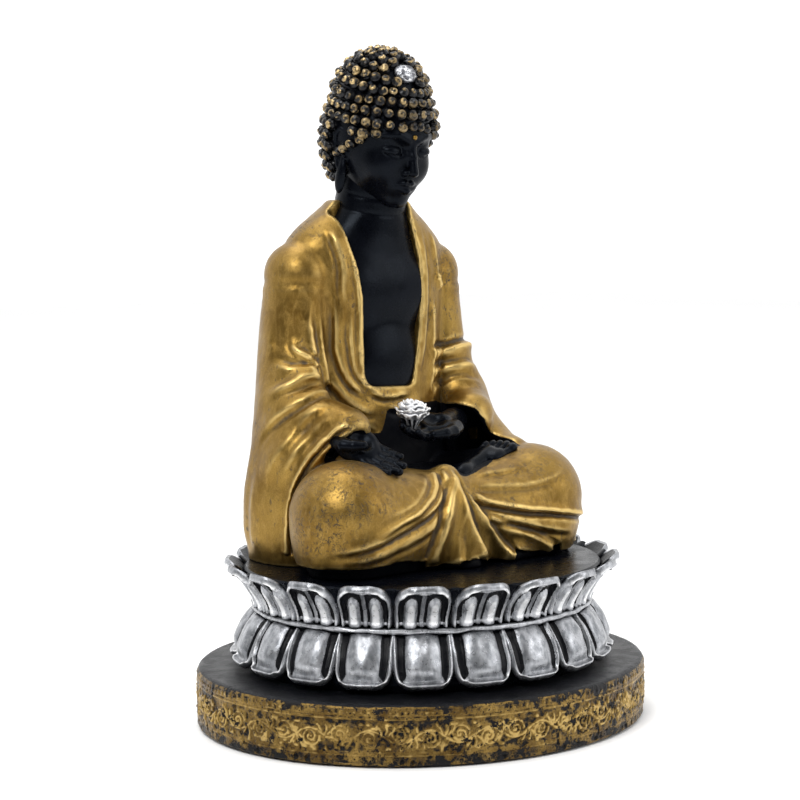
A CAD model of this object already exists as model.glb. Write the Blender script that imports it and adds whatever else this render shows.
import math
from functools import partialmethod

import bpy
import numpy as np
import openvdb
from mathutils import Matrix, Vector
from mathutils.kdtree import KDTree


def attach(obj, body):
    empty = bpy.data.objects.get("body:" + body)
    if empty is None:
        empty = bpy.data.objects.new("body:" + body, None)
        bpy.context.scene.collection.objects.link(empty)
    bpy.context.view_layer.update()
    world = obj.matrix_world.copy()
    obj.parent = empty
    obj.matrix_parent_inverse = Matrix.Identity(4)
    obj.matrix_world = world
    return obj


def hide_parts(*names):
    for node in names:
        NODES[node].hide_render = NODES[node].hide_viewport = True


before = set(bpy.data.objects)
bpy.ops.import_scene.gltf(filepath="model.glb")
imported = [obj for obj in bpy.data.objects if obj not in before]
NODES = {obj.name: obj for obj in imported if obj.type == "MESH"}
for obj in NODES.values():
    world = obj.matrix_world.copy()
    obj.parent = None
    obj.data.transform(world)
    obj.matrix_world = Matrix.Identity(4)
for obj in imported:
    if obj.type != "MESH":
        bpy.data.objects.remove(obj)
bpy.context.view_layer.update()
MM = 0.001
COARSE = 1.0
OVAL = 0.861                # depth over width of the plinth and throne
PLINTH_HALF, PLINTH_TOP = 90.0, 22.0
WAIST = 43.5                # height of the ring between the two rows of petals
PETALS = 20                 # in each row
SEAT = 58.9                 # where the robe rests on the seat


# ------------------------------------------------------------------ numbers in space

def vec(*xyz):
    return np.array(xyz, dtype=np.float32)


def length(a):
    return np.sqrt((a * a).sum(-1))


def smooth(lo, hi, x):
    t = np.clip((x - lo) / (hi - lo), 0, 1)
    return t * t * (3 - 2 * t)


def blend(a, b, k):
    """The union of two fields with a fillet of size k."""
    h = np.clip(0.5 + 0.5 * (b - a) / k, 0, 1)
    return b * (1 - h) + a * h - k * h * (1 - h)


def both(a, b, k):
    """Where two fields overlap, with a fillet of size k."""
    return -blend(-a, -b, k)


def carve(a, tool, k):
    """Field a less a tool, with a fillet of size k."""
    return -blend(-a, tool, k)


def noise(p, scale, seed=0):
    """Smooth lattice noise from -1 to 1."""
    q = np.asarray(p, dtype=np.float64) / np.asarray(scale, dtype=np.float64) + 31.7 * (seed + 1)
    cell = np.floor(q).astype(np.int64)
    f = q - cell
    f = f * f * (3 - 2 * f)
    total = np.zeros(len(q))
    for corner in np.ndindex(2, 2, 2):
        c = cell + corner
        h = (c[:, 0] * 73856093) ^ (c[:, 1] * 19349663) ^ (c[:, 2] * 83492791) ^ (seed * 2654435761)
        h = ((h ^ (h >> 13)) * 1274126177) & 0xFFFFFFFF
        w = np.prod(np.where(corner, f, 1 - f), axis=1)
        total += w * (h / 0xFFFFFFFF)
    return total * 2 - 1


def egg(p, centre, half, axes=None):
    """Distance to an ellipsoid; axes holds its own x, y, z directions as rows."""
    q = p - np.asarray(centre, np.float32)
    if axes is not None:
        q = q @ np.asarray(axes, np.float32).T
    half = np.asarray(half, np.float32)
    k0 = length(q / half)
    k1 = length(q / half ** 2)
    return k0 * (k0 - 1) / np.maximum(k1, 1e-5)


def eggs(d, p, *parts):
    """Field d with eggs blended in, each given as its centre, half sizes and fillet."""
    for centre, half, k in parts:
        d = blend(d, egg(p, centre, half), k)
    return d


def limb(p, a, b, ra, rb):
    """Distance to a tapered rod with round ends."""
    a, b = np.asarray(a, np.float32), np.asarray(b, np.float32)
    run = b - a
    t = np.clip((p - a) @ run / float(run @ run), 0, 1)
    return length(p - a - t[:, None] * run) - (ra + (rb - ra) * t)


def chain(p, points, radii, k=0.6):
    """Distance to tapered rods joined end to end."""
    d = limb(p, points[0], points[1], radii[0], radii[1])
    for i in range(1, len(points) - 1):
        d = blend(d, limb(p, points[i], points[i + 1], radii[i], radii[i + 1]), k)
    return d


def read(rows, x, entry=1):
    """An entry of a table at x, which each row starts with."""
    table = np.array(rows).T
    return np.interp(x, table[0], table[entry])


def column(p, rows):
    """Distance to a solid of level ellipses; rows are (z, half width, half depth, x, y)."""
    rows = np.array(sorted(rows), dtype=np.float64)
    z = np.arange(rows[0, 0], rows[-1, 0] + 0.5, 0.5)
    kernel = np.exp(-0.5 * (np.arange(-12, 13) / 5.0) ** 2)
    kernel /= kernel.sum()

    def at(i):
        eased = np.convolve(np.pad(np.interp(z, rows[:, 0], rows[:, i]), 12, mode="edge"), kernel, "valid")
        return np.interp(p[:, 2], z, eased).astype(np.float32)

    a, b, x, y = [at(i) for i in range(1, 5)]
    qx, qy = p[:, 0] - x, p[:, 1] - y
    k0 = np.sqrt((qx / a) ** 2 + (qy / b) ** 2)
    k1 = np.sqrt((qx / a ** 2) ** 2 + (qy / b ** 2) ** 2)
    side = k0 * (k0 - 1) / np.maximum(k1, 1e-5)
    ends = np.maximum(p[:, 2] - rows[-1, 0], rows[0, 0] - p[:, 2])
    return both(side, ends, 2.0)


def spline(points, count=40):
    """A smooth curve through points."""
    p = np.array(points, dtype=np.float64)
    p = np.vstack([2 * p[0] - p[1], p, 2 * p[-1] - p[-2]])
    n = len(p) - 3
    t = np.linspace(0, n - 1e-6, count)
    i = t.astype(int)
    u = (t - i)[:, None]
    a, b, c, d = p[i], p[i + 1], p[i + 2], p[i + 3]
    bend, twist = 2 * a - 5 * b + 4 * c - d, 3 * b - a - 3 * c + d
    return 0.5 * (2 * b + (c - a) * u + bend * u ** 2 + twist * u ** 3)


# ------------------------------------------------------------------ meshes

def sculpt(field, low, high, step):
    """Vertices and quads of a field's surface, found in blocks near the surface only."""
    step *= COARSE
    block = 8
    low = np.array(low, dtype=np.float64)
    count = np.ceil((np.array(high) - low) / (step * block)).astype(int)
    mids = np.stack(np.meshgrid(*[np.arange(n) for n in count], indexing="ij"), -1).reshape(-1, 3)
    centres = (low + (mids + 0.5) * block * step).astype(np.float32)
    rough = field(centres)
    reach = block * step * 0.87 * 1.35 + 3 * step
    far = 3.0 * step
    dense = np.empty((*count, block, block, block), dtype=np.float32)
    dense[:] = (np.sign(rough) * far).reshape(*count, 1, 1, 1)
    near = mids[np.abs(rough) < reach]
    inner = np.stack(np.meshgrid(*[np.arange(block)] * 3, indexing="ij"), -1).reshape(-1, 3)
    for start in range(0, len(near), 1500):
        some = near[start:start + 1500]
        p = (low + (some[:, None, :] * block + inner[None]) * step).astype(np.float32)
        values = np.clip(field(p.reshape(-1, 3)), -far, far)
        dense[some[:, 0], some[:, 1], some[:, 2]] = values.reshape(len(some), block, block, block)
    dense = dense.transpose(0, 3, 1, 4, 2, 5).reshape(count * block)
    grid = openvdb.FloatGrid(background=far)
    grid.copyFromArray(np.ascontiguousarray(dense), tolerance=1e-6)
    points, quads = grid.convertToQuads(isovalue=0.0)
    return points * step + low, quads.astype(np.int64)


def normals_of(v, f):
    """A normal for every vertex of a mesh of quads."""
    n = np.cross(v[f[:, 2]] - v[f[:, 0]], v[f[:, 3]] - v[f[:, 1]])
    out = np.zeros_like(v)
    for k in range(4):
        for axis in range(3):
            out[:, axis] += np.bincount(f[:, k], n[:, axis], len(v))
    return out / np.maximum(length(out), 1e-12)[:, None]


def neighbours_mean(v, f):
    """The mean of each vertex's neighbours along edges, for any per-vertex values."""
    v = v if v.ndim == 2 else v[:, None]
    total, count = np.zeros((len(v), v.shape[1])), np.zeros(len(v))
    for i in range(4):
        a, b = f[:, i], f[:, (i + 1) % 4]
        for src, dst in ((a, b), (b, a)):
            for axis in range(v.shape[1]):
                total[:, axis] += np.bincount(dst, v[src, axis], len(v))
            count += np.bincount(dst, minlength=len(v))
    return total / np.maximum(count, 1)[:, None]


def hoops(rows, around, inward=False):
    """Quads over rows of points, where each row closes on itself."""
    i, j = np.meshgrid(np.arange(rows - 1), np.arange(around), indexing="ij")
    a, b = i * around + j, i * around + (j + 1) % around
    corners = [a, a + around, b + around, b] if inward else [a, b, b + around, a + around]
    return np.stack(corners, -1).reshape(-1, 4)


def full_turn(count):
    return np.linspace(0, 2 * math.pi, count, endpoint=False)


def turned(a, b, angle, z):
    """Points at an angle round the z axis, on ovals of half width a and half depth b."""
    return np.stack([a * np.cos(angle), b * np.sin(angle), z], -1).reshape(-1, 3)


def unit(a):
    return a / np.linalg.norm(a)


def relief_of(v, f, passes=4):
    """How far each vertex stands out of (+) or into (-) its surroundings, in mm."""
    soft = v
    for _ in range(passes):
        soft = neighbours_mean(soft, f)
    out = ((v - soft) * normals_of(v, f)).sum(1)
    return neighbours_mean(out, f)[:, 0]


def place(name, data):
    obj = bpy.data.objects.new(name, data)
    bpy.context.scene.collection.objects.link(obj)
    return obj


def piece(name, v, f, slot, values, normals=None, replaces=None):
    """A visible piece from vertices in mm; values are extra numbers per vertex for its material."""
    mesh = bpy.data.meshes.new(name)
    mesh.from_pydata((np.asarray(v) * MM).tolist(), [], f if isinstance(f, list) else f.tolist())
    mesh.validate()
    mesh.shade_smooth()
    for key, data in values.items():
        layer = mesh.attributes.new(key, "FLOAT", "POINT")
        layer.data.foreach_set("value", np.asarray(data, dtype=np.float32))
    if normals is not None:
        mesh.normals_split_custom_set_from_vertices(normals.tolist())
    mesh.materials.append(PAINT[slot])
    obj = place(name, mesh)
    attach(obj, "root")
    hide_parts(*(replaces or [name]))


def split(v, f, owner, names, slot, values):
    """One sculpted skin handed out to the pieces that it covers: owner is a piece index for every face."""
    n = normals_of(v, f)
    for index, name in enumerate(names):
        mine = f[owner == index]
        if not len(mine):
            continue
        used, packed = np.unique(mine, return_inverse=True)
        piece(name, v[used], packed.reshape(mine.shape), slot,
              {k: d[used] for k, d in values.items()}, n[used])


# ------------------------------------------------------------------ node materials

class Nodes:
    """A short way to write the nodes of a material, or of the world."""

    def __init__(self, name, world=False):
        self.owner = (bpy.data.worlds if world else bpy.data.materials).new(name)
        self.owner.use_nodes = True
        self.tree = self.owner.node_tree
        self.tree.nodes.clear()
        self.shader = self.add("ShaderNodeBackground" if world else "ShaderNodeBsdfPrincipled")
        out = self.add("ShaderNodeOutputWorld" if world else "ShaderNodeOutputMaterial")
        self.link(self.shader.outputs[0], out.inputs["Surface"])
        self.where = self.add("ShaderNodeTexCoord").outputs["Generated" if world else "Object"]

    def add(self, kind, **props):
        node = self.tree.nodes.new(kind)
        for key, value in props.items():
            setattr(node, key, value)
        return node

    def link(self, a, b):
        self.tree.links.new(a, b)

    def put(self, node, *values, **named):
        """Links or numbers for a node's inputs, by place or by name with _ for a space."""
        named = {key.replace("_", " "): value for key, value in named.items()}
        for key, value in (*enumerate(values), *named.items()):
            if hasattr(value, "node"):
                self.link(value, node.inputs[key])
            else:
                node.inputs[key].default_value = value
        return node

    def attribute(self, name):
        return self.add("ShaderNodeAttribute", attribute_name=name).outputs["Fac"]

    def texture(self, scale, detail=4.0, rough=0.55, stretch=None, distortion=0.0):
        """Noise from 0 to 1; scale is in cells per metre."""
        where = self.where
        if stretch:
            mapping = self.put(self.add("ShaderNodeMapping"), Vector=where, Scale=stretch)
            where = mapping.outputs[0]
        node = self.put(self.add("ShaderNodeTexNoise"), Vector=where, Scale=scale, Detail=detail,
                        Roughness=rough, Distortion=distortion)
        return node.outputs["Fac"]

    def maths(self, kind, a, b=0.0):
        return self.put(self.add("ShaderNodeMath", operation=kind), a, b).outputs[0]

    times = partialmethod(maths, "MULTIPLY")
    plus = partialmethod(maths, "ADD")
    minus = partialmethod(maths, "SUBTRACT")
    most = partialmethod(maths, "MAXIMUM")

    def ramp(self, value, low, high, start=0.0, end=1.0):
        node = self.add("ShaderNodeMapRange", interpolation_type="SMOOTHSTEP")
        return self.put(node, value, low, high, start, end).outputs[0]

    def mix(self, factor, a, b):
        node = self.put(self.add("ShaderNodeMix", data_type="RGBA"), factor)
        for i, value in ((6, a), (7, b)):
            if hasattr(value, "node"):
                self.link(value, node.inputs[i])
            else:
                node.inputs[i].default_value = (*value, 1.0)
        return node.outputs[2]

    def bump(self, height, distance, strength=1.0):
        node = self.put(self.add("ShaderNodeBump"), Distance=distance, Strength=strength, Height=height)
        self.link(node.outputs[0], self.shader.inputs["Normal"])

    def finish(self, **sockets):
        self.put(self.shader, **sockets)
        return self.owner


def black_paint():
    """Satin black paint, a little greyer where it is rubbed along edges."""
    m = Nodes("black_paint")
    cloud = m.texture(90, 3)
    colour = m.mix(m.ramp(cloud, 0.3, 0.75), (0.0012, 0.0015, 0.0026), (0.0030, 0.0035, 0.0056))
    rub = m.times(m.ramp(m.attribute("relief"), 0.05, 0.35), m.ramp(m.texture(900, 5), 0.45, 0.7))
    colour = m.mix(rub, colour, (0.045, 0.045, 0.050))
    dust = m.ramp(m.texture(1400, 2, 0.4), 0.77, 0.80, 0.0, 0.6)
    colour = m.mix(dust, colour, (0.05, 0.05, 0.05))
    fine = m.texture(2600, 3, 0.6)
    m.bump(m.plus(m.times(fine, 0.6), m.texture(420, 3)), 0.00012, 0.5)
    rough = m.ramp(m.texture(160, 4), 0.3, 0.7, 0.22, 0.34)
    return m.finish(Base_Color=colour, Roughness=rough, Specular_IOR_Level=0.09,
                    Specular_Tint=(0.72, 0.84, 1.0, 1.0))


def gold_paint():
    """Antique gold brushed over black: dark in the creases, bright on the ridges, worn in specks."""
    m = Nodes("gold_paint")
    relief, valley, bare = m.attribute("relief"), m.attribute("valley"), m.attribute("bare")
    streak = m.texture(300, 5, 0.65, stretch=(1.0, 1.0, 0.5), distortion=0.8)
    cloud = m.texture(48, 4)
    grain = m.texture(2300, 4, 0.65)
    base = m.mix(m.ramp(cloud, 0.3, 0.72), (0.185, 0.104, 0.020), (0.335, 0.210, 0.050))
    base = m.mix(m.ramp(streak, 0.40, 0.72, 0.0, 0.7), base, (0.400, 0.255, 0.070))
    base = m.mix(m.ramp(grain, 0.35, 0.70, 0.0, 0.45), base, (0.130, 0.070, 0.014))
    base = m.mix(m.ramp(relief, 0.03, 0.26), base, (0.640, 0.452, 0.165))
    deep = m.most(m.ramp(relief, -0.05, -0.26), m.ramp(valley, -0.14, -0.95, 0.0, 0.85))
    deep = m.times(deep, m.ramp(m.texture(700, 5, 0.7), 0.25, 0.55, 0.55, 1.0))
    patch = m.most(m.ramp(m.texture(30, 3), 0.52, 0.62), m.attribute("worn"))
    vein = m.maths("ABSOLUTE", m.minus(m.texture(230, 5, 0.6, distortion=1.4), 0.5))
    vein = m.times(m.ramp(vein, 0.020, 0.008), m.ramp(m.texture(150, 3), 0.45, 0.50))
    flake = m.ramp(m.texture(520, 8, 0.8, distortion=2.2), 0.57, 0.61)
    crack = m.times(m.most(vein, flake), patch)
    scratch = m.ramp(m.texture(1300, 3, 0.6, stretch=(0.5, 0.5, 0.2)), 0.61, 0.66)
    scratch = m.times(scratch, m.ramp(cloud, 0.48, 0.62))
    worn = m.most(crack, m.times(scratch, 0.7))
    dark = m.most(m.times(deep, 0.86), worn)
    base = m.mix(dark, base, (0.020, 0.011, 0.004))
    wavy = m.plus(bare, m.times(m.minus(m.texture(420, 5), 0.5), 0.5))
    black = m.ramp(wavy, 0.46, 0.54)
    base = m.mix(black, base, (0.0030, 0.0034, 0.0052))
    shine = m.minus(1.0, m.most(dark, black))
    rough = m.plus(m.ramp(streak, 0.3, 0.7, 0.31, 0.45), m.times(dark, 0.16))
    height = m.plus(m.times(streak, 0.45), m.times(grain, 0.40))
    height = m.minus(height, m.times(worn, 0.7))
    m.bump(height, 0.00026, 0.6)
    glint = m.minus(0.5, m.times(black, 0.42))
    return m.finish(Base_Color=base, Roughness=rough, Metallic=m.times(shine, 0.92), Specular_IOR_Level=glint)


def silver_paint():
    """Brushed silver over black: the paint attribute says where the brush reached."""
    m = Nodes("silver_paint")
    edge = m.times(m.minus(m.texture(1100, 4, 0.65, stretch=(1.0, 1.0, 0.5)), 0.5), 0.75)
    reached = m.ramp(m.plus(m.attribute("paint"), edge), 0.46, 0.56)
    streak = m.texture(420, 4, 0.6, stretch=(1.0, 1.0, 0.35))
    grain = m.texture(1700, 5, 0.7)
    silver = m.mix(m.ramp(streak, 0.3, 0.7), (0.20, 0.21, 0.225), (0.50, 0.51, 0.535))
    silver = m.mix(m.ramp(grain, 0.42, 0.66, 0.0, 0.32), silver, (0.20, 0.205, 0.22))
    relief = m.attribute("relief")
    ridge = m.ramp(relief, 0.03, 0.14)
    silver = m.mix(m.ramp(relief, -0.02, -0.20, 0.0, 0.75), silver, (0.06, 0.06, 0.07))
    silver = m.mix(m.times(ridge, 0.95), silver, (0.97, 0.975, 0.985))
    colour = m.mix(reached, (0.0026, 0.0029, 0.0044), silver)
    height = m.plus(m.times(grain, 0.5), m.times(reached, 0.8))
    m.bump(height, 0.00028, 0.6)
    rough = m.ramp(m.texture(700, 3), 0.3, 0.7, 0.26, 0.38)
    glint = m.ramp(reached, 0.0, 1.0, 0.15, 0.5)
    metal = m.times(reached, m.minus(0.82, m.times(ridge, 0.45)))
    return m.finish(Base_Color=colour, Roughness=rough, Metallic=metal, Specular_IOR_Level=glint)


def antique_gold():
    """The plinth's rubbed gold: blotches and pits of the black below, a black top."""
    m = Nodes("antique_gold_paint")
    side, relief, height_up = m.attribute("side"), m.attribute("relief"), m.attribute("level")
    cloud = m.texture(120, 5, 0.6)
    grain = m.texture(1500, 5, 0.75)
    gold = m.mix(m.ramp(cloud, 0.3, 0.7), (0.095, 0.053, 0.012), (0.300, 0.192, 0.052))
    gold = m.mix(m.ramp(grain, 0.50, 0.62, 0.0, 0.7), gold, (0.040, 0.022, 0.006))
    gold = m.mix(m.ramp(relief, 0.04, 0.34, 0.0, 0.8), gold, (0.600, 0.415, 0.140))
    blotch = m.texture(210, 9, 0.72)
    patches = m.texture(38, 3)
    edge = m.ramp(height_up, 0.30, 0.0, 0.0, 0.085)
    rim = m.ramp(height_up, 0.80, 1.0, 0.0, 0.075)
    limit = m.plus(m.plus(edge, rim), m.times(patches, 0.20))
    pits = m.ramp(m.plus(blotch, limit), 0.672, 0.684)
    small = m.ramp(m.plus(m.texture(800, 4, 0.65), m.times(limit, 0.5)), 0.680, 0.695)
    hollow = m.times(m.ramp(relief, -0.03, -0.18), m.ramp(m.texture(620, 5, 0.7), 0.38, 0.50))
    dark = m.most(m.most(pits, small), hollow)
    colour = m.mix(dark, gold, (0.006, 0.0055, 0.006))
    ragged = m.plus(side, m.times(m.minus(m.texture(300, 6, 0.7), 0.5), 0.9))
    reached = m.ramp(ragged, 0.47, 0.53)
    black = m.mix(m.ramp(m.texture(80, 3), 0.3, 0.8), (0.0026, 0.0029, 0.0042), (0.0060, 0.0066, 0.0090))
    colour = m.mix(reached, black, colour)
    metal = m.times(reached, m.minus(0.85, m.times(dark, 0.85)))
    bump = m.minus(m.times(m.texture(1300, 5, 0.6), 0.7), m.times(dark, 0.8))
    m.bump(bump, 0.00050, 0.8)
    return m.finish(Base_Color=colour, Roughness=m.ramp(cloud, 0.3, 0.7, 0.30, 0.44), Metallic=metal,
                    Specular_IOR_Level=m.ramp(metal, 0.0, 0.85, 0.16, 0.5))


def bronze_paint():
    """The curls: black with bronze dragged over their tops."""
    m = Nodes("bronze_paint")
    top = m.attribute("top")
    side = m.attribute("lit")
    ragged = m.plus(top, m.times(m.minus(m.texture(1100, 5, 0.7), 0.5), 1.7))
    ragged = m.plus(ragged, m.times(m.minus(m.texture(130, 3), 0.5), 2.2))
    reached = m.times(m.ramp(ragged, 0.40, 0.72), side)
    bronze = m.mix(m.ramp(m.texture(260, 3), 0.35, 0.65), (0.190, 0.130, 0.056), (0.560, 0.410, 0.200))
    colour = m.mix(reached, (0.0026, 0.0029, 0.0042), bronze)
    m.bump(m.texture(2200, 3), 0.0001, 0.4)
    metal = m.times(reached, 0.85)
    return m.finish(Base_Color=colour, Roughness=0.30, Metallic=metal, Specular_IOR_Level=0.3)


def felt_cloth():
    m = Nodes("felt")
    fibre = m.texture(3500, 6, 0.7)
    colour = m.mix(fibre, (0.006, 0.006, 0.007), (0.030, 0.030, 0.034))
    m.bump(fibre, 0.0003, 0.8)
    return m.finish(Base_Color=colour, Roughness=0.95, Sheen_Weight=0.4, Sheen_Roughness=0.6)


# Every slot and the material that fills it.
PAINT = {"black_paint": black_paint(), "gold_paint": gold_paint(), "silver_paint": silver_paint(),
         "antique_gold_paint": antique_gold(), "bronze_paint": bronze_paint(), "felt": felt_cloth()}


# ------------------------------------------------------------------ camera, lights and floor

EYE, TARGET = Vector((-0.5061, -0.6031, 0.1905)), Vector((-0.0072, 0.0060, 0.11925))
LENS, ROLL = 94.8, math.radians(0.23)


def build_stage():
    back = (EYE - TARGET).normalized()
    right = Vector((0, 0, 1)).cross(back).normalized()
    up = back.cross(right)
    r = right * math.cos(ROLL) + up * math.sin(ROLL)
    u = up * math.cos(ROLL) - right * math.sin(ROLL)
    lens = bpy.data.cameras.new("camera")
    lens.lens = LENS
    lens.clip_start = 0.01
    camera = place("camera", lens)
    camera.matrix_world = Matrix((
        (r.x, u.x, back.x, EYE.x), (r.y, u.y, back.y, EYE.y), (r.z, u.z, back.z, EYE.z), (0, 0, 0, 1)))
    bpy.context.scene.camera = camera

    def soft_light(name, at, size, power):
        lamp = bpy.data.lights.new(name, "AREA")
        lamp.shape, lamp.size, lamp.energy = "DISK", size, power
        obj = place(name, lamp)
        obj.location = at
        obj.rotation_euler = (Vector((0, 0, 0.12)) - Vector(at)).to_track_quat("-Z", "Y").to_euler()

    soft_light("key", (-0.75, -0.35, 0.85), 0.55, 7.0)
    soft_light("fill", (0.55, -0.95, 0.55), 0.70, 3.0)
    soft_light("crown", (0.05, 0.25, 1.05), 0.60, 3.0)
    w = Nodes("studio", world=True)
    toward = w.put(w.add("ShaderNodeVectorMath", operation="DOT_PRODUCT"), w.where, (0.55, 0.62, 0.56))
    fade = w.ramp(toward.outputs["Value"], -0.45, 0.45, 0.05, 1.30)
    # the backdrop itself is seen as white from every side; only its light and reflections fade
    seen = w.add("ShaderNodeLightPath").outputs["Is Camera Ray"]
    bpy.context.scene.world = w.finish(Color=w.most(fade, seen), Strength=1.0)
    bpy.context.scene.view_settings.view_transform = "Standard"

    mesh = bpy.data.meshes.new("floor")
    mesh.from_pydata([(-3, -3, 0), (3, -3, 0), (3, 3, 0), (-3, 3, 0)], [], [(0, 1, 2, 3)])
    m = Nodes("pale_floor")
    tone = m.mix(m.texture(3, 2), (0.95, 0.95, 0.95), (0.98, 0.98, 0.98))
    mesh.materials.append(m.finish(Base_Color=tone, Roughness=0.8))
    place("floor", mesh)


# ------------------------------------------------------------------ plinth

def scroll_tile(width, height, step):
    """The relief of one repeat of the plinth's scroll-work, from 0 to 1."""
    u, v = np.meshgrid(np.arange(0, width, step), np.arange(0, height, step), indexing="ij")
    mid = height / 2
    lines = []
    t = np.linspace(0, 1, 160)
    lines.append((t * width, mid + 2.3 * np.sin(2 * math.pi * t)))
    for sign, centre in ((1, width * 0.25), (-1, width * 0.75)):
        a = np.linspace(0.3, 3.9 * math.pi, 160)
        r = 0.28 * a + 0.15
        lines.append((centre + r * np.cos(a + 0.4), mid - sign * 0.7 + sign * r * np.sin(a + 0.4) * 0.95))
        for lean in (-0.9, 0.1, 1.0):
            root = centre + width * 0.25 + lean * 1.2
            s = np.linspace(0, 1, 40)
            lines.append((root + lean * 2.2 * s + 0.6 * np.sin(3 * s), mid + sign * (0.6 + 3.2 * s)))
    out = np.zeros_like(u)
    for shift in (-width, 0, width):
        for x, y in lines:
            for px, py in zip(x[::2] + shift, y[::2]):
                if -2 < px < width + 2:
                    out = np.maximum(out, np.exp(-((u - px) ** 2 + (v - py) ** 2) / 0.42 ** 2))
    return out


def build_plinth():
    half, top = PLINTH_HALF, PLINTH_TOP
    around = int(1500 / COARSE)
    profile = [(86.6, 1.2), (86.6, 0.6), (88.2, 0.6), (89.0, 0.75), (89.6, 1.3), (89.8, 2.0)]
    profile += [(89.8, z) for z in np.arange(2.4, 20.6, 0.36)]
    profile += [(89.7, 20.9), (89.3, 21.4), (88.6, 21.8), (87.6, 22.0), (86.4, 22.0)]
    profile += [(r, 22.0) for r in np.linspace(85, 60, 14)]
    radius, z = np.array(profile).T
    turn = full_turn(around)
    zz, tt = np.meshgrid(z, turn, indexing="ij")
    rr = np.repeat(radius[:, None], around, 1)
    rim = (zz > 1.9) & (zz < 20.7) & (rr > 88)
    arc = np.cumsum(np.hypot(half * np.sin(turn), half * OVAL * np.cos(turn))) * (2 * math.pi / around)
    width, height, step = 21.5, 10.6, 0.3
    tile = scroll_tile(width, height, step)
    repeats = round(arc[-1] / width)
    u = (arc / arc[-1] * repeats % 1.0) * width
    iu = np.minimum((u / step).astype(int), tile.shape[0] - 1)
    foot = 5.6
    iz = np.clip(((z - foot) / step).astype(int), 0, tile.shape[1] - 1)
    scroll = tile[iu][:, iz].T * ((zz > foot) & (zz < foot + height - 0.4))
    flat = turned(half, half * OVAL, tt, zz)

    def uneven(scale, seed):
        return noise(flat, scale, seed).reshape(zz.shape)

    crisp = smooth(-0.5, 0.3, uneven(26, 3))
    band = smooth(foot - 0.4, foot + 0.6, zz) * smooth(foot + height + 0.2, foot + height - 0.8, zz)
    leafy = smooth(0.05, 0.75, uneven((1.5, 1.5, 1.2), 8)) * band
    relief = np.maximum(scroll * (0.35 + 0.65 * crisp), 0.75 * leafy)
    for level, tall in ((4.6, 0.45), (17.2, 0.55), (5.5, 0.25), (18.5, 0.35)):
        relief += tall * np.exp(-((zz - level) / 0.38) ** 2) * (zz > 1.9)
    bead_count = 210
    beads = 0.5 + 0.5 * np.cos(arc / arc[-1] * 2 * math.pi * bead_count)
    relief += 0.5 * beads[None] * np.exp(-((zz - 19.5) / 0.5) ** 2)
    rough = uneven((1.1, 1.1, 0.9), 5) * 0.12 + uneven(3.2, 6) * 0.16
    pits = smooth(0.55, 0.8, uneven(1.7, 7)) * (0.35 + 0.5 * smooth(6, 2, zz))
    out = np.where(rim, relief * 0.8 + rough - pits - 0.75, 0.0)
    out += np.where((rr > 87.0) & ~rim, rough * 0.8 - 0.4 * smooth(18, 21, zz) - 0.5, 0.0)
    rr = rr + out
    lumps = uneven(14, 9) * 0.18 * (rr > 86.8) * (zz > 2)
    v = turned(rr, rr * OVAL, tt, zz + lumps * (zz > 20))
    f = hoops(len(z), around)
    side = np.where(rr > 86.6, smooth(21.9, 20.7, zz), 0.0)
    detail = np.where(rim, relief * 0.5 + rough * 0.8 - pits * 0.8 - 0.10, 0.0)
    piece("plinth", v, f, "antique_gold_paint",
          {"side": side.ravel(), "relief": detail.ravel(), "level": (zz / top).ravel()})


# ------------------------------------------------------------------ lotus petals

def petal_mesh(profile, half_width, relief, thick, across=56, along=56):
    """One petal in its own frame, as (sideways, outward, up) with the paint and relief values."""
    line = spline(profile, 80)
    run = np.concatenate([[0], np.cumsum(length(np.diff(line, axis=0)))])
    t = np.linspace(0, 1, along) ** 0.92
    t = t / t[-1]
    at = np.stack([np.interp(t * run[-1], run, line[:, i]) for i in range(2)], -1)
    tangent = np.gradient(at, axis=0)
    tangent /= length(tangent)[:, None]
    outward = np.stack([tangent[:, 1], -tangent[:, 0]], -1)
    hangs = outward[0, 0] < 0
    if hangs:
        outward = -outward
    u = np.linspace(-1, 1, across)
    wide = half_width(t)
    s = u[None] * wide[:, None]
    tt = np.repeat(t[:, None], across, 1)
    edge = np.minimum((wide[:, None] - np.abs(s)), (1.0 - tt) * run[-1] + 0.15)
    height, paint, bright = relief(s, tt, edge)
    bow = s ** 2 / (2 * 42.0)
    layers = []
    for lift in (height, np.full_like(height, -thick)):
        r = at[:, :1] + outward[:, :1] * lift - bow
        z = at[:, 1:] + outward[:, 1:] * lift
        layers.append(np.stack([s, r, z], -1).reshape(-1, 3))
    v = np.vstack(layers)
    n = across * along
    i, j = np.meshgrid(np.arange(along - 1), np.arange(across - 1), indexing="ij")
    a = (i * across + j).ravel()
    front = np.stack([a, a + 1, a + across + 1, a + across], -1)
    back = front[:, ::-1] + n
    grid = np.arange(n).reshape(along, across)
    ring = np.concatenate([grid[0], grid[1:, -1], grid[-1, -2::-1], grid[-2:0:-1, 0]])
    after = np.roll(ring, -1)
    wall = np.stack([ring, ring + n, after + n, after], -1)
    f = np.vstack([front, back, wall])
    paint = np.concatenate([paint.ravel(), 0.1 + 0.9 * (edge.ravel() < 1.2)])
    return v, f if hangs else f[:, ::-1], paint, np.concatenate([bright.ravel(), np.zeros(bright.size)])


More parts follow.
